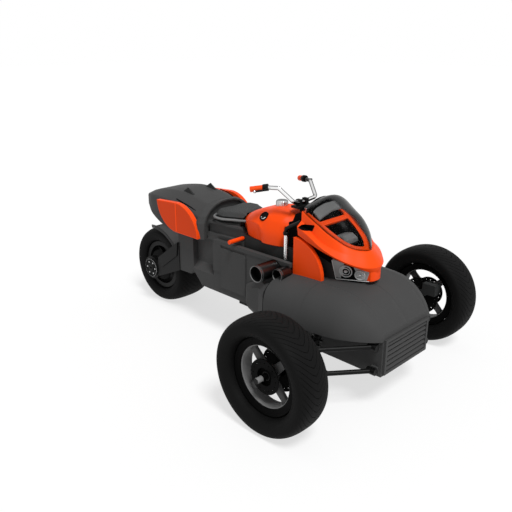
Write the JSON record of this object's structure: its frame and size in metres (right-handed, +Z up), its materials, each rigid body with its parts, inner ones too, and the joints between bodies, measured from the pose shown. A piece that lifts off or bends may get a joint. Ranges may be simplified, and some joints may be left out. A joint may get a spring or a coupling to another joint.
{
  "type": "three wheeled car",
  "caption": "open roadster with two steered front wheels, one driven rear wheel, saddle seat, handlebar and orange and grey body panels",
  "frame": {"origin": "bottom centre of the whole vehicle: on the ground under the middle of its length and width", "axes": "+X forward, +Y left, +Z up"},
  "size_m": [2.313, 1.683, 1.0878],
  "materials": {
    "orange_paint": "satin orange enamel",
    "grey_paint": "satin grey enamel",
    "dark_plastic": "moulded black, fine grain",
    "dark_metal": "dark powder coat",
    "brushed_metal": "turned and brushed",
    "bright_metal": "polished tube",
    "disc_steel": "ground face",
    "rim_paint": "grey enamel over cast alloy",
    "tyre_rubber": "moulded tread rubber",
    "grip_rubber": "orange moulded grip rubber",
    "seat_leather": "grey grained cover",
    "lamp_glass": "clear lens",
    "smoked_screen": "smoked clear plastic"
  },
  "bodies": {
    "root": {"nose_body": "grey_paint", "grille": "dark_plastic", "hood": "grey_paint", "tub": "grey_paint", "neck_fairings": "grey_paint", "side_trim": "grey_paint", "side_cans": "brushed_metal", "engine_block": "dark_metal", "tank_bed": "dark_plastic", "tank": "orange_paint", "tank_caps": "brushed_metal", "seat_base": "dark_plastic", "seat_pad": "seat_leather", "foot_pegs": "orange_paint", "arch": "grey_paint", "tail": "grey_paint", "side_leaves": "orange_paint", "cowl": "orange_paint", "cowl_base": "dark_plastic", "screen": "smoked_screen", "headlights": "lamp_glass", "frame_tubes": "bright_metal", "steering_head": "dark_metal", "swingarm": "dark_metal", "rear_axle": "brushed_metal", "hub_caps": "brushed_metal", "fender_rear": "grey_paint", "rear_bracket": "dark_plastic", "rack_housing": "dark_metal", "springs": "dark_metal", "spring_towers": "dark_metal", "wishbones": "dark_metal"},
    "knuckle_right": {"knuckle_right": "dark_metal", "caliper_front_right": "dark_metal"},
    "knuckle_left": {"knuckle_left": "dark_metal", "caliper_front_left": "dark_metal"},
    "wheel_front_right": {"tyre_front_right": "tyre_rubber", "rim_front_right": "rim_paint", "brake_discs_front_right": "disc_steel"},
    "wheel_front_left": {"tyre_front_left": "tyre_rubber", "rim_front_left": "rim_paint", "brake_discs_front_left": "disc_steel"},
    "wheel_rear": {"tyre_rear": "tyre_rubber", "rim_rear": "rim_paint", "brake_disc_rear": "disc_steel"},
    "handlebar": {"bar_clamp": "brushed_metal", "handlebar": "bright_metal", "grips": "grip_rubber", "bar_controls": "dark_plastic"},
    "steering_rack": {"steering_rack": "brushed_metal"}
  },
  "joints": [
    {"name": "kingpin_right", "type": "hinge", "parent": "root", "child": "knuckle_right", "pos_m": [0.8385, -0.592, 0.3135], "axis": [0, 0, 1], "range_deg": [-28, 28]},
    {"name": "kingpin_left", "type": "hinge", "parent": "root", "child": "knuckle_left", "pos_m": [0.8385, 0.592, 0.3135], "axis": [0, 0, 1], "range_deg": [-28, 28]},
    {"name": "bar_turn", "type": "hinge", "parent": "root", "child": "handlebar", "pos_m": [0.3865, 0, 0.93], "axis": [-0.4226, 0, 0.9063], "range_deg": [-35, 35]},
    {"name": "rack_slide", "type": "slide", "parent": "root", "child": "steering_rack", "axis": [0, 1, 0], "range_m": [-0.055, 0.055]},
    {"name": "wheel_front_right_spin", "type": "hinge", "parent": "knuckle_right", "child": "wheel_front_right", "pos_m": [0.8385, -0.739, 0.3135], "axis": [0, 1, 0], "continuous": true},
    {"name": "wheel_front_left_spin", "type": "hinge", "parent": "knuckle_left", "child": "wheel_front_left", "pos_m": [0.8385, 0.739, 0.3135], "axis": [0, 1, 0], "continuous": true},
    {"name": "wheel_rear_spin", "type": "hinge", "parent": "root", "child": "wheel_rear", "pos_m": [-0.8715, 0, 0.285], "axis": [0, 1, 0], "continuous": true}
  ],
  "couplings": [
    {"joint": "kingpin_left", "follows": "kingpin_right", "ratio": 1},
    {"joint": "bar_turn", "follows": "kingpin_right", "ratio": 1.25},
    {"joint": "rack_slide", "follows": "kingpin_right", "m_per_rad": -0.107}
  ]
}
